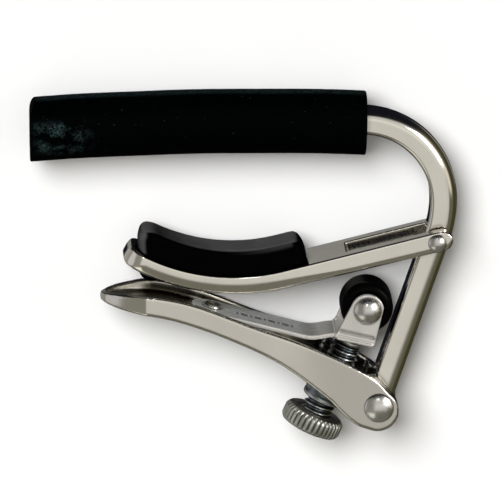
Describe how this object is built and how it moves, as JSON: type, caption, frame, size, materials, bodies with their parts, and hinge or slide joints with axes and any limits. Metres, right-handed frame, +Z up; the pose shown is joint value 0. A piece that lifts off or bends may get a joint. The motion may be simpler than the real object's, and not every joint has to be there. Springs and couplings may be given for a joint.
{
  "type": "guitar capo",
  "caption": "Roller capo: a rubber-sleeved hooked bar and a padded arm grip a guitar's neck, and an over-centre lever with a thumbscrew presses the arm home.",
  "frame": {"origin": "centre of the capo's outline, on the surface it lies on, on its side", "axes": "+X along the sleeved bar towards the hook's bend, +Y from the lever towards the sleeved bar, +Z up through the capo's width, along every hinge axis"},
  "size_m": [0.0874, 0.0748, 0.0176],
  "materials": {
    "nickel": "polished nickel plate, warm, with soft broken edges",
    "steel": "worn plain steel, satin",
    "dark_steel": "blued steel, oily sheen",
    "brass": "satin, machined",
    "sleeve_rubber": "matt black extruded rubber with a little dust",
    "pad_rubber": "moulded black rubber, greyed on the face that meets the neck",
    "roller_nylon": "turned black nylon, satin"
  },
  "bodies": {
    "hook": {"hook_bar": "nickel", "string_sleeve": "sleeve_rubber"},
    "arm": {"pad_arm": "nickel", "neck_pad": "pad_rubber", "arm_rivet": "nickel", "arm_washer_near": "brass", "arm_washer_far": "brass"},
    "lever": {"lever": "nickel", "lever_rivet": "nickel", "lever_washer_near": "brass", "lever_washer_far": "brass", "thread_insert": "dark_steel", "strap_rivet": "steel"},
    "strap": {"roller_strap": "nickel", "roller_pin": "nickel", "roller_washer_near": "steel", "roller_washer_far": "steel"},
    "roller": {"roller_tyre": "roller_nylon", "roller_bush": "brass"},
    "screw_lift": {"screw_foot": "steel"},
    "thumbscrew": {"screw_stud": "dark_steel", "screw_knob": "steel"}
  },
  "joints": [
    {"name": "lever_hinge", "type": "hinge", "parent": "hook", "child": "lever", "pos_m": [0.02799, -0.02862, 0.00878], "axis": [0, 0, 1], "range_deg": [0, 110]},
    {"name": "arm_hinge", "type": "hinge", "parent": "hook", "child": "arm", "pos_m": [0.03989, 0.00588, 0.00878], "axis": [0, 0, 1], "range_deg": [0, 16.8]},
    {"name": "strap_flex", "type": "hinge", "parent": "lever", "child": "strap", "pos_m": [-0.00596, -0.00873, 0.00878], "axis": [0, 0, 1], "range_deg": [-1.85, 1.72]},
    {"name": "roller_spin", "type": "hinge", "parent": "strap", "child": "roller", "pos_m": [0.02569, -0.00847, 0.00878], "axis": [0, 0, 1], "continuous": true},
    {"name": "screw_slide", "type": "slide", "parent": "lever", "child": "screw_lift", "axis": [0.4147, 0.91, 0], "range_m": [-0.00096, 0.00089]},
    {"name": "screw_turn", "type": "hinge", "parent": "screw_lift", "child": "thumbscrew", "pos_m": [0.01469, -0.03307, 0.00878], "axis": [0.4147, 0.91, 0], "range_deg": [-270, 250]}
  ],
  "couplings": [
    {"joint": "arm_hinge", "follows": "lever_hinge", "ratio": 0.15},
    {"joint": "screw_slide", "follows": "screw_turn", "m_per_rad": 0.00020213},
    {"joint": "strap_flex", "follows": "screw_turn", "ratio": 0.00673}
  ]
}
